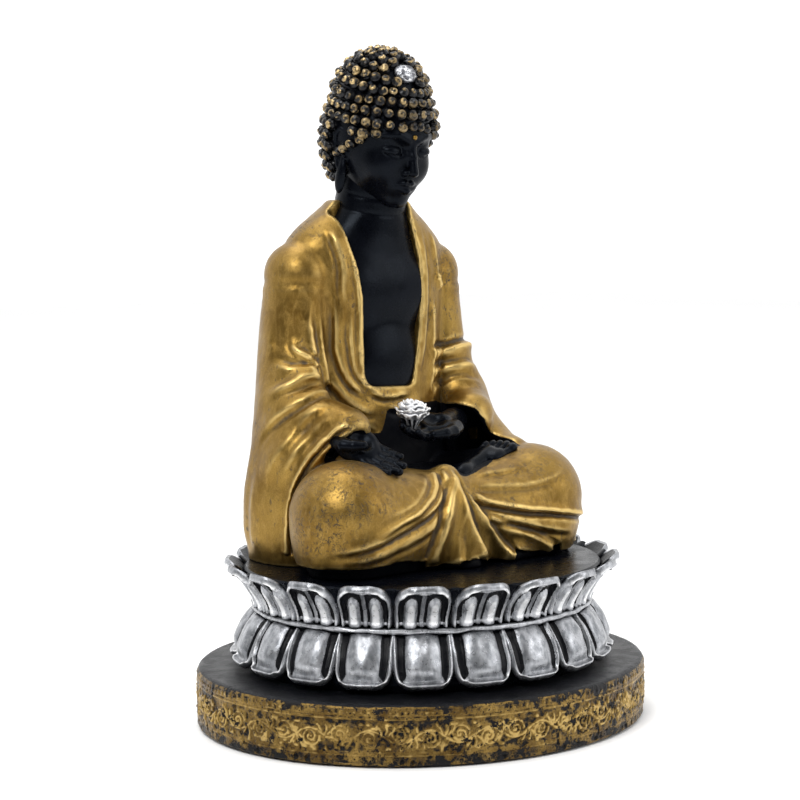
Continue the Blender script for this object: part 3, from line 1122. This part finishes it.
def snail_curl(rings, around):
    """A small shell-shaped curl standing on z, of radius 1, with its winding ridge and a height for paint."""
    tt, pp = np.meshgrid(np.linspace(0, math.radians(128), rings), full_turn(around), indexing="ij")
    wind = np.cos(pp + tt * 5.2)
    r = 1.0 + 0.085 * wind * smooth(0.12, 0.5, tt) - 0.03
    point = 1.0 + 0.14 * np.cos(tt) ** 4
    v = turned(r * np.sin(tt), r * np.sin(tt), pp, r * point * np.cos(tt))
    top = (0.62 + 0.38 * wind) * smooth(math.radians(95), math.radians(25), tt)
    top = top * (1 - 0.7 * smooth(0.22, 0.05, tt))
    return v, hoops(rings, around, inward=True), top.ravel()


def build_hair():
    v, f = sculpt(hair_field, (-22, -24, -22), (22, 26, 36), 0.6)
    high = v[:, 2] > 17.0
    v = from_head(v)
    owner = high[f].all(1).astype(int)
    split(v, f, owner, ["hair_cap", "hair_crown"], "black_paint", {"relief": np.zeros(len(v))})

    rng = np.random.default_rng(7)
    shape, faces, top = snail_curl(15 if COARSE == 1 else 10, 26 if COARSE == 1 else 16)
    centres = np.array(islands(NODES["hair_curls"].data))
    # one more row of curls, from the brow back along the hairline
    apart, clear = 4.0, 3.3
    for side in (-1, 1):
        last = None
        for turn_by in np.linspace(0.0, 1.75, 120):
            y = CAP_AT[1] - CAP_HALF[1] * math.cos(turn_by)
            z = hairline(y)
            room = 1 - ((y - CAP_AT[1]) / CAP_HALF[1]) ** 2 - ((z - CAP_AT[2]) / CAP_HALF[2]) ** 2
            if room < 0:
                continue
            spot = from_head(np.array([[side * CAP_HALF[0] * math.sqrt(room), y, z + 0.6]]))[0]
            if last is not None and length(spot - last) < apart:
                continue
            if length(centres - spot).min() > clear:
                centres = np.vstack([centres, spot])
                last = spot
    vs, fs, tops, lits = [], [], [], []
    middle = from_head(np.array([[0, 3.5, 8.0]]))[0]
    for k, c in enumerate(centres):
        out = unit(unit(c - middle) + rng.normal(0, 0.10, 3))
        side = unit(np.cross(out, [0, 0, 1.0]))
        turn = rng.uniform(0, 2 * math.pi)
        e1 = side * math.cos(turn) + np.cross(out, side) * math.sin(turn)
        axes = np.stack([e1, np.cross(out, e1), out])
        size = 2.0 * rng.uniform(0.94, 1.05)
        vs.append((shape * size) @ axes + c)
        fs.append(faces + k * len(shape))
        tops.append(top)
        lit = 0.62 + 0.30 * out[2] - 0.22 * out[0] + 0.20 * out[1] + rng.normal(0, 0.14)
        lits.append(np.full(len(shape), np.clip(lit, 0.1, 1)))
    v, f = np.vstack(vs), np.vstack(fs)
    piece("hair_curls", v, f, "bronze_paint",
          {"top": np.concatenate(tops), "lit": np.concatenate(lits)})

    rings, around = 26, 64
    tt, pp = np.meshgrid(np.linspace(0, math.radians(115), rings), full_turn(around), indexing="ij")
    v = turned(4.7 * np.sin(tt), 3.7 * np.sin(tt), pp, 2.3 * np.cos(tt))
    crumple = np.abs(noise(v, 1.5, 3)) + 0.5 * np.abs(noise(v, 0.8, 4))
    v *= (1 + 0.22 * (crumple - 0.35))[:, None]
    out = unit(np.array([0, -0.72, 0.69]))
    axes = np.stack([[1, 0, 0], np.cross(out, [1, 0, 0]), out])
    v = from_head((v @ axes) + np.array(CROWN_AT) + out * 17.6)
    f = hoops(rings, around, inward=True)
    piece("hair_jewel", v, f, "silver_paint",
          {"paint": np.full(len(v), 0.9), "relief": 0.25 - crumple.ravel() * 0.9})


def build_head():
    v, f = sculpt(head_field, (-21, -26, -28), (21, 22, 26), 0.34)
    piece("head", from_head(v), f, "black_paint", {"relief": np.zeros(len(v))})
    build_hair()


# ------------------------------------------------------------------ hands, foot and flower

def hand_field(q, curl, thumb, elbow):
    """A palm-up hand: x to the fingertips, y to the thumb's side, z out of the palm."""
    d = egg(q, (7.5, 0.2, -0.6), (8.8, 7.2, 3.5))
    d = blend(d, limb(q, elbow, (3, 0, -0.6), 4.8, 4.4), 2.5)
    d = eggs(d, q, ((5.2, 4.6, 0.7), (4.8, 2.9, 2.6), 1.2), ((6.0, -4.6, 0.6), (5.2, 2.3, 2.2), 1.2))
    d = carve(d, egg(q, (9.0, 0.0, 3.4), (4.0, 3.2, 2.5)), 1.6)
    for y, reach, r in ((4.4, 12.0, 1.8), (1.5, 13.6, 1.9), (-1.5, 12.8, 1.8), (-4.3, 10.2, 1.6)):
        base = np.array([13.6 - 0.06 * y * y, y, -0.8])
        p1 = base + np.array([reach * 0.42, y * 0.04, 0.35 * curl])
        p2 = p1 + np.array([reach * 0.32, y * 0.01, 1.3 * curl])
        p3 = p2 + np.array([reach * 0.22, -y * 0.01, 1.7 * curl])
        finger = chain(q, [base, p1, p2, p3], [r, r * 0.98, r * 0.9, r * 0.74], 0.25)
        for joint in (p1, p2):
            finger = carve(finger, egg(q, joint + np.array([0, 0, r + 0.1]), (0.34, 2.2, 0.5)), 0.4)
        d = blend(d, finger, 0.45)
    return blend(d, chain(q, thumb, [3.0, 2.5, 2.15, 1.7], 0.5), 0.8)


def foot_field(q):
    """A bare foot with its sole up: x from heel to toes, y to the little toe's side, z out of the sole."""
    d = egg(q, (2.6, 0, -2.2), (5.4, 4.7, 4.4))
    d = blend(d, limb(q, (4, 1.0, -3.0), (20, 1.2, -3.0), 3.7, 4.0), 2.5)
    d = eggs(d, q, ((20.2, -2.6, -1.6), (4.6, 3.6, 2.7), 1.6), ((19.4, 3.0, -1.8), (4.8, 3.5, 2.5), 1.6))
    toes = ((27.0, -4.4, 2.35, 2.4), (27.6, -0.7, 1.75, 2.0), (26.7, 2.2, 1.6, 1.9), (25.3, 4.7, 1.5, 1.7),
            (23.3, 6.8, 1.4, 1.5))
    for x, y, r, stub in toes:
        toe = limb(q, (x - 5, y * 0.9, -2.0), (x, y, -1.5), r * 0.75, r * 0.8)
        d = blend(d, blend(toe, egg(q, (x + 0.6, y, -1.2), (stub, r, r)), 0.6), 0.5)
    return d


def sculpt_limb(name, field, start, end, up, low, high, scale):
    """A hand or foot in its own frame, with x from start towards end and z near up."""
    start, end, up = (np.array(a, dtype=float) for a in (start, end, up))
    along = unit(end - start)
    up = unit(up - along * (up @ along))
    v, f = sculpt(field, low, high, 0.34)
    axes = np.stack([along, np.cross(up, along), up])
    piece(name, v * scale @ axes + start, f, "black_paint", {"relief": relief_of(v, f, 3)})


def build_limbs():
    folded = [(1.0, 4.0, 0.8), (5.0, 5.4, 2.8), (8.6, 4.6, 4.2), (11.2, 3.0, 4.8)]
    along = [(1.5, 5.0, 0.4), (7.0, 7.8, 1.0), (12.0, 8.2, 1.4), (17.0, 6.8, 1.2)]
    sculpt_limb("right_hand", lambda q: hand_field(q * vec(1, -1, 1), 0.5, folded, (-12, 0, 1)),
                (-37.0, 3.0, 108.0), (-27.0, -20.0, 96.2), (-0.35, -0.35, 0.85),
                (-17, -12, -7), (32, 13, 10), vec(1.03, 1.12, 1.0))
    sculpt_limb("left_hand", lambda q: hand_field(q, 1.0, along, (-11, -4.5, -3)),
                (15, 4.5, 109.5), (-14, -1, 106.5), (-0.08, -0.35, 0.93),
                (-17, -12, -7), (34, 13, 11), vec(1.0, 1.05, 1.05))
    sculpt_limb("right_foot", foot_field, (6, -12.0, 92.8), (37.5, -6, 102.6), (-0.12, -0.28, 0.95),
                (-5, -9, -9), (34, 12, 6), vec(1.08, 0.86, 0.80))


def build_flower():
    """A full little bloom of thick ruffled petals in four rings, on a fluted calyx."""
    base = np.array([-4.8, 1.5, 111.2])
    rng = np.random.default_rng(11)
    # petals in a ring, its radius, its height, how far they lean out in degrees, and their half sizes
    rings = ((7, 4.0, 2.3, 66, (2.8, 0.8, 2.8)), (8, 4.6, 3.7, 52, (2.8, 0.8, 2.7)),
             (7, 3.8, 5.1, 38, (2.5, 0.75, 2.6)), (6, 2.4, 6.0, 24, (2.1, 0.7, 2.4)),
             (4, 1.1, 6.6, 10, (1.5, 0.6, 2.1)))
    leaves = []
    for count, out, rise, lean, half in rings:
        for k in range(count):
            turn = 2 * math.pi * (k + rng.uniform(-0.15, 0.15)) / count + out
            tilt = math.radians(lean + rng.uniform(-9, 9))
            c, s, ct, st = math.cos(turn), math.sin(turn), math.cos(tilt), math.sin(tilt)
            axes = np.array([[-s, c, 0], [c * ct, s * ct, -st], [c * st, s * st, ct]])
            leaves.append((np.array([c * out, s * out, rise]), half, axes))

    def field(p):
        w = p + 0.55 * np.stack([noise(p, 1.7, k) for k in (1, 2, 3)], -1).astype(np.float32)
        d = egg(w, (0, 0, 3.4), (3.6, 3.6, 3.0))
        for centre, half, axes in leaves:
            d = np.minimum(d, egg(w, centre, half, axes))
        return d

    v, f = sculpt(field, (-9, -9, -1), (9, 9, 11), 0.24)
    relief = relief_of(v, f, 5)
    piece("flower_petals", v + base, f, "silver_paint",
          {"paint": 0.95 - 0.7 * smooth(-0.06, -0.30, relief), "relief": relief * 1.6 + 0.03},
          replaces=["flower_petals", "flower_heart"])

    rows, around, flutes = 18, 96, 8
    tt, ww = np.meshgrid(np.linspace(0, 1, rows), full_turn(around), indexing="ij")
    flute = np.cos(flutes * ww)
    r = (1.3 + 3.0 * tt ** 1.3) * (1 + 0.13 * flute)
    v = turned(r, r, ww, -2.6 + 5.6 * tt) + base
    caps = [list(range(around))[::-1], list(range((rows - 1) * around, rows * around))]
    piece("flower_calyx", v, hoops(rows, around).tolist() + caps, "silver_paint",
          {"paint": 0.62 + 0.35 * flute.ravel(), "relief": 0.12 * flute.ravel()})


# ------------------------------------------------------------------ assembly

build_stage()
build_plinth()
build_throne()
build_robe()
build_body()
build_head()
build_limbs()
build_flower()
for paint, names in (("felt", ["felt_sheet"]), ("gold_paint", ["brow_dot"]),
                     ("black_paint", ["throne_core", "seat_disc", "inner_petal_tips", "lap_core"])):
    for name in names:
        NODES[name].data.materials.clear()
        NODES[name].data.materials.append(PAINT[paint])
